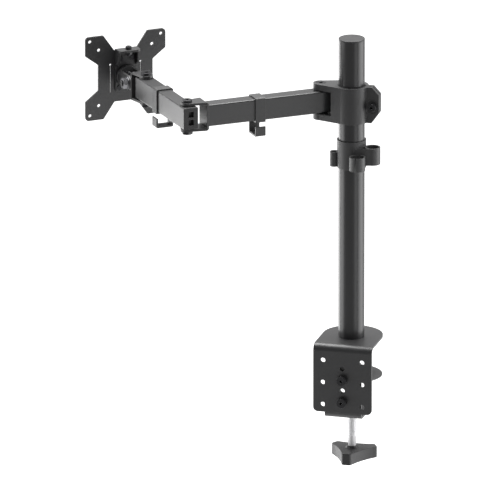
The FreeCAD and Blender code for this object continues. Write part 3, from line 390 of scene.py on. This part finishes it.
BRASS = Finish("turned_brass", (0.60, 0.42, 0.17), (0.52, 0.35, 0.13), (0.22, 0.34), metallic=1.0,
               grain=2200.0, depth=0.00001, surface=Surface.TURNED, wear_and_highlight=0.4, worn_and_highlit=(0.75, 0.58, 0.3), dust=0.02)
ALUMINIUM = Finish("turned_aluminium", (0.60, 0.60, 0.61), (0.52, 0.52, 0.53), (0.28, 0.40), metallic=1.0,
                   grain=2200.0, depth=0.00002, surface=Surface.TURNED, wear_and_highlight=0.3, worn_and_highlit=(0.8, 0.8, 0.8), dust=0.02)

SLOT_FINISHES: dict[str, Finish] = {
    "black_coat": POWDER_COAT,
    "cast_coat": CAST_COAT,
    "pole_coat": POLE_COAT,
    "black_plastic": BLACK_PLASTIC,
    "clip_plastic": CLIP_PLASTIC,
    "washer_plastic": NYLON,
    "foam": FOAM,
    "pad_rubber": RUBBER,
    "bright_steel": STEEL_WITH_PAINTED_REFLECTION,
    "plated_steel": DARK_ZINC,
    "black_bolt": BLACK_OXIDE,
    "brass": BRASS,
    "aluminium": ALUMINIUM,
}


@dataclass
class FinishShop:
    """Builds each finish once and dresses CAD nodes and new pieces with it."""

    made: dict[str, bpy.types.Material] = field(default_factory=dict)

    def material(self, finish: Finish) -> bpy.types.Material:
        """Return the material of a finish, built on first use."""
        if finish.name not in self.made:
            self.made[finish.name] = finish.material()
        return self.made[finish.name]

    def dress(self, piece: bpy.types.Object, finish: Finish) -> None:
        """Give a piece one finish all over."""
        piece.data.materials.clear()
        piece.data.materials.append(self.material(finish))


# ---------------------------------------------------------------- mesh helpers
def mesh_piece(name: str, build: Callable[[bmesh.types.BMesh], None], crease_deg: float = 35.0) -> bpy.types.Object:
    """Make an object from a function that fills a bmesh.

    Args:
        name: Name of the piece.
        build: Function that adds the vertices and faces, in metres.
        crease_deg: Edges that turn more than this stay sharp.

    Returns:
        The new object, linked to the scene.
    """
    form = bmesh.new()
    build(form)
    bmesh.ops.recalc_face_normals(form, faces=form.faces)
    for face in form.faces:
        face.smooth = True
    for edge in form.edges:
        if len(edge.link_faces) == 2 and edge.calc_face_angle() > math.radians(crease_deg):
            edge.smooth = False
    mesh = bpy.data.meshes.new(name)
    form.to_mesh(mesh)
    form.free()
    piece = bpy.data.objects.new(name, mesh)
    bpy.context.scene.collection.objects.link(piece)
    return piece


def wrap_rings(form: bmesh.types.BMesh, rings: list[list[Vector]]) -> None:
    """Join a stack of rings into a closed tube and cap both ends with a fan.

    Args:
        form: The bmesh that gets the faces.
        rings: Rings of points, all of one length, from bottom to top.
    """
    rows = [[form.verts.new(p) for p in ring] for ring in rings]
    count = len(rings[0])
    for low, high in zip(rows, rows[1:]):
        for n in range(count):
            form.faces.new((low[n], low[(n + 1) % count], high[(n + 1) % count], high[n]))
    for row, flip in ((rows[0], True), (rows[-1], False)):
        middle = form.verts.new(sum((v.co for v in row), Vector()) / count)
        for n in range(count):
            pair = (row[(n + 1) % count], row[n]) if flip else (row[n], row[(n + 1) % count])
            form.faces.new((*pair, middle))


def spin_profile(form: bmesh.types.BMesh, profile: list[tuple[float, float]], centre: Vector, steps: int) -> None:
    """Turn a profile of (radius, height) points about an upright axis.

    Args:
        form: The bmesh that gets the faces.
        profile: Points from the bottom to the top.
        centre: Point on the axis at height 0.
        steps: Points around the axis.
    """
    rings = []
    for radius, height in profile:
        rings.append([centre + Vector((radius * math.cos(2 * math.pi * n / steps),
                                       radius * math.sin(2 * math.pi * n / steps), height))
                      for n in range(steps)])
    wrap_rings(form, rings)


# ---------------------------------------------------------------- sub-assemblies
@dataclass
class ClampScrew:
    """The clamp's threaded rod with a real helical thread, a plain neck into the knob and a chamfered end.

    Args:
        pitch: Rise of the thread in one turn.
        depth: Depth of the thread.
        around: Points around the rod.
        per_turn: Rows of points in one turn's rise.
    """

    pitch: float = 1.75 * MM
    depth: float = 0.95 * MM
    around: int = 40
    per_turn: int = 8

    def thread_radius(self, outer: float, phase: float) -> float:
        """Radius of the thread at a phase of 0 to 1 of its pitch.

        Args:
            outer: Crest radius.
            phase: Place in the pitch.

        Returns:
            The radius there.
        """
        flank = abs(2.0 * (phase % 1.0) - 1.0)
        share = min(1.0, max(0.0, (flank - 0.12) / 0.70))
        return outer - self.depth * (1.0 - share)

    def build(self, shop: FinishShop) -> bpy.types.Object:
        """Build the rod in place of the plain CAD rod.

        Args:
            shop: Where the finish comes from.

        Returns:
            The new piece.
        """
        low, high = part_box("clamp_screw")
        knob_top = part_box("clamp_knob")[1].z
        tip_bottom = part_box("screw_tip")[0].z
        axis = Vector(((low.x + high.x) / 2, (low.y + high.y) / 2, 0.0))
        outer = (high.x - low.x) / 2
        neck = outer - 0.75 * MM
        thread_low = knob_top + 15.0 * MM
        thread_high = tip_bottom - 0.4 * MM
        rows = int((thread_high - thread_low) / self.pitch * self.per_turn)
        heights: list[tuple[float, float | None]] = [
            (low.z, neck), (thread_low - 2.2 * MM, neck), (thread_low - 1.2 * MM, outer - 0.1 * MM),
        ]
        heights += [(thread_low + n * self.pitch / self.per_turn, None) for n in range(rows + 1)]
        heights += [(thread_high + 0.15 * MM, outer - 0.9 * MM), (high.z, neck)]

        def fill(form: bmesh.types.BMesh) -> None:
            rings = []
            for z, plain in heights:
                ring = []
                for n in range(self.around):
                    turn = n / self.around
                    fade = min(1.0, max(0.0, (z - thread_low) / (1.5 * self.pitch)))
                    radius = plain if plain is not None else self.thread_radius(outer, z / self.pitch - turn)
                    radius = radius if plain is not None else outer - (outer - radius) * fade
                    angle = 2 * math.pi * turn
                    ring.append(axis + Vector((radius * math.cos(angle), radius * math.sin(angle), z)))
                rings.append(ring)
            wrap_rings(form, rings)

        rod = mesh_piece("threaded_rod", fill, 60.0)
        shop.dress(rod, STEEL_WITH_PAINTED_REFLECTION)
        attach(rod, "clamp_screw")
        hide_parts("clamp_screw")
        LOG.info("threaded rod: %d rows of thread", rows)
        return rod


@dataclass
class PadFace:
    """The rubber disc on the clamp pad, with concentric grip ribs.

    Args:
        ribs: Number of ribs.
        groove: Depth of the grooves between them.
        steps: Points around the disc.
    """

    ribs: int = 6
    groove: float = 0.9 * MM
    steps: int = 96

    def profile(self, radius: float, height: float) -> list[tuple[float, float]]:
        """Outline of the disc from its lower rim to its middle.

        Args:
            radius: Outer radius.
            height: Full thickness.

        Returns:
            Points of (radius, height).
        """
        points = [(radius - 0.3 * MM, 0.0), (radius, 0.3 * MM), (radius, height - 0.8 * MM),
                  (radius - 0.3 * MM, height - 0.2 * MM), (radius - 0.8 * MM, height)]
        start = radius - 2.0 * MM
        step = (start - 2.5 * MM) / self.ribs
        for n in range(self.ribs):
            edge = start - n * step
            points += [(edge, height), (edge - 0.22 * step, height - self.groove),
                       (edge - 0.42 * step, height - self.groove), (edge - 0.64 * step, height)]
        points.append((1.5 * MM, height))
        return points

    def build(self, shop: FinishShop) -> bpy.types.Object:
        """Build the ribbed disc in place of the plain CAD disc.

        Args:
            shop: Where the finish comes from.

        Returns:
            The new piece.
        """
        low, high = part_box("pad_rubber")
        centre = Vector(((low.x + high.x) / 2, (low.y + high.y) / 2, low.z))
        outline = self.profile((high.x - low.x) / 2, high.z - low.z)
        disc = mesh_piece("ribbed_pad_face", lambda form: spin_profile(form, outline, centre, self.steps))
        shop.dress(disc, RUBBER)
        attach(disc, "clamp_pad")
        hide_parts("pad_rubber")
        LOG.info("ribbed pad face: %d ribs", self.ribs)
        return disc


@dataclass
class MetalAndPlastic:
    """Every carried-over CAD node, dressed by its slot in the record.
    """

    frame: dict

    def dress(self, shop: FinishShop) -> None:
        """Give each node the finish of its slot and report it."""
        for part in self.frame["record"]["subparts"]:
            node = self.frame["nodes"][part["node"]]
            finish = SLOT_FINISHES[part["material_slot"]]
            shop.dress(node, finish)
            LOG.info("%s: %s", part["node"], finish.name)


# ---------------------------------------------------------------- studio
@dataclass
class Lamp:
    """One soft rectangular lamp.

    Args:
        name: Name of the lamp.
        place: Where it stands, in metres from the object's middle.
        size: Width and height.
        power: Watts.
    """

    name: str
    place: tuple[float, float, float]
    size: tuple[float, float]
    power: float

    def build(self, target: Vector) -> bpy.types.Object:
        """Make the lamp and aim it at the object's middle."""
        light = bpy.data.lights.new(self.name, "AREA")
        light.shape = "RECTANGLE"
        light.size, light.size_y = self.size
        light.energy = self.power
        lamp = bpy.data.objects.new(self.name, light)
        lamp.location = target + Vector(self.place)
        lamp.rotation_euler = (-Vector(self.place)).to_track_quat("-Z", "Y").to_euler()
        bpy.context.scene.collection.objects.link(lamp)
        return lamp


@dataclass
class Studio:
    """Pale floor, plain world, soft lamps and the camera.

    Args:
        azimuth: Camera's bearing, 0 looking along +Y.
        elevation: Camera's height above the horizon, in degrees.
        lens: Focal length in millimetres; long, so that uprights stay parallel.
        sensor: Sensor width in millimetres.
        view_width: Width of the view at the object, in metres.
        aim_offset: From the middle of the object's box to the middle of the view.
        floor_drop: Floor below the object's lowest point.
        floor_half: Half the floor's side.
        ambient: World strength on dull surfaces.
        dark_side: Direction in which glossy surfaces see a dim room.
        dark_from: Where the dimming starts, as the cosine to that direction.
        dark_to: Where it is complete.
        dark_level: World strength seen there in gloss.
        gloss_level: World strength seen in gloss everywhere else.
    """

    azimuth: float = 14.8
    elevation: float = 17.3
    lens: float = 1500.0
    sensor: float = 36.0
    view_width: float = 0.6206
    aim_offset: tuple[float, float, float] = (0.0214, -0.0140, 0.0127)
    floor_drop: float = 0.45
    floor_half: float = 30.0
    ambient: float = 0.45
    dark_side: tuple[float, float, float] = (0.25, -0.92, 0.30)
    dark_from: float = -0.1
    dark_to: float = 0.85
    dark_level: float = 0.05
    gloss_level: float = 0.62
    lamps: tuple[Lamp, ...] = (
        Lamp("left_soft_box", (-1.45, -0.45, 0.05), (1.1, 1.6), 13.0),
        Lamp("left_back_soft_box", (-1.10, 0.75, -0.10), (0.8, 1.3), 10.0),
        Lamp("right_soft_box", (1.45, 0.35, 0.05), (1.3, 1.6), 17.0),
        Lamp("right_front_soft_box", (1.25, -0.80, -0.35), (0.6, 0.7), 1.5),
        Lamp("overhead_soft_box", (0.00, 0.30, 1.40), (1.6, 1.1), 50.0),
    )

    def build(self, low: Vector, high: Vector) -> None:
        """Build the whole studio round the object's box.

        Args:
            low: Lowest corner of the object's box.
            high: Highest corner of the object's box.
        """
        middle = (low + high) / 2
        self.build_camera(middle + Vector(self.aim_offset))
        self.build_world()
        self.build_floor(low.z - self.floor_drop)
        for lamp in self.lamps:
            lamp.build(middle)
            LOG.info("lamp %s", lamp.name)
        bpy.context.scene.view_settings.view_transform = "Standard"

    def build_camera(self, target: Vector) -> None:
        """Place the camera far back on its bearing, aimed at the target."""
        bearing, rise = math.radians(self.azimuth), math.radians(self.elevation)
        back = Vector((math.sin(bearing) * math.cos(rise), -math.cos(bearing) * math.cos(rise), math.sin(rise)))
        camera_data = bpy.data.cameras.new("view_camera")
        camera_data.lens = self.lens
        camera_data.sensor_width = self.sensor
        camera_data.clip_start = 0.5
        camera_data.clip_end = 200.0
        camera = bpy.data.objects.new("view_camera", camera_data)
        camera.location = target + back * (self.view_width * self.lens / self.sensor)
        camera.rotation_euler = back.to_track_quat("Z", "Y").to_euler()
        bpy.context.scene.collection.objects.link(camera)
        bpy.context.scene.camera = camera

    def build_world(self) -> None:
        """A white surround that shows plainly to the camera and in gloss, dimmer on the object."""
        world = bpy.data.worlds.new("studio_world")
        bpy.context.scene.world = world
        world.use_nodes = True
        tree = world.node_tree
        background = tree.nodes["Background"]
        background.inputs["Color"].default_value = (1.0, 1.0, 1.0, 1.0)
        rays = tree.nodes.new("ShaderNodeLightPath")
        place = tree.nodes.new("ShaderNodeTexCoord")
        facing = tree.nodes.new("ShaderNodeVectorMath")
        facing.operation = "DOT_PRODUCT"
        tree.links.new(place.outputs["Generated"], facing.inputs[0])
        facing.inputs[1].default_value = self.dark_side
        shade = tree.nodes.new("ShaderNodeMapRange")
        shade.interpolation_type = "SMOOTHSTEP"
        tree.links.new(facing.outputs["Value"], shade.inputs["Value"])
        for label, value in (("From Min", self.dark_from), ("From Max", self.dark_to),
                             ("To Min", self.gloss_level), ("To Max", self.dark_level)):
            shade.inputs[label].default_value = value
        glossy = math_node(tree, "MULTIPLY", rays.outputs["Is Glossy Ray"], shade.outputs["Result"])
        seen = math_node(tree, "MAXIMUM", rays.outputs["Is Camera Ray"], rays.outputs["Is Transmission Ray"])
        diffuse = math_node(tree, "MULTIPLY", rays.outputs["Is Diffuse Ray"], self.ambient)
        strength = math_node(tree, "ADD", math_node(tree, "ADD", seen, glossy), diffuse)
        tree.links.new(strength, background.inputs["Strength"])

    def build_floor(self, height: float) -> None:
        """A wide pale floor that is white to the camera and keeps the object's shadow."""
        half = self.floor_half

        def fill(form: bmesh.types.BMesh) -> None:
            corners = [(-half, -half), (half, -half), (half, half), (-half, half)]
            form.faces.new([form.verts.new((x, y, height)) for x, y in corners])

        floor = mesh_piece("studio_floor", fill)
        made = bpy.data.materials.new("floor_paint")
        made.use_nodes = True
        tree = made.node_tree
        shader = tree.nodes["Principled BSDF"]
        shader.inputs["Base Color"].default_value = (0.6, 0.6, 0.6, 1.0)
        shader.inputs["Roughness"].default_value = 0.9
        rays = tree.nodes.new("ShaderNodeLightPath")
        place = tree.nodes.new("ShaderNodeNewGeometry")
        facing = tree.nodes.new("ShaderNodeVectorMath")
        facing.operation = "DOT_PRODUCT"
        tree.links.new(place.outputs["Position"], facing.inputs[0])
        facing.inputs[1].default_value = self.dark_side
        shade = tree.nodes.new("ShaderNodeMapRange")
        shade.interpolation_type = "SMOOTHSTEP"
        tree.links.new(facing.outputs["Value"], shade.inputs["Value"])
        for label, value in (("From Min", -0.3), ("From Max", 0.6), ("To Min", 0.5), ("To Max", 0.0)):
            shade.inputs[label].default_value = value
        glossy = math_node(tree, "MULTIPLY", rays.outputs["Is Glossy Ray"], shade.outputs["Result"])
        seen = math_node(tree, "MAXIMUM", rays.outputs["Is Camera Ray"], rays.outputs["Is Transmission Ray"])
        shader.inputs["Emission Color"].default_value = (1.0, 1.0, 1.0, 1.0)
        tree.links.new(math_node(tree, "ADD", seen, glossy), shader.inputs["Emission Strength"])
        floor.data.materials.append(made)
        floor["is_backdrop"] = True


def main() -> None:
    """Load the frame, dress it, add the modelled pieces and build the studio."""
    logging.basicConfig(level=logging.INFO, format="%(name)s: %(message)s")
    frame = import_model()
    cad_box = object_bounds()
    low, high = Vector(cad_box[0]), Vector(cad_box[1])
    for build_group in (build_grain_group, build_edge_group, build_dust_group):
        build_group()
    shop = FinishShop()
    Studio().build(low, high)
    MetalAndPlastic(frame).dress(shop)
    ClampScrew().build(shop)
    PadFace().build(shop)


if __name__ == "__main__":
    main()
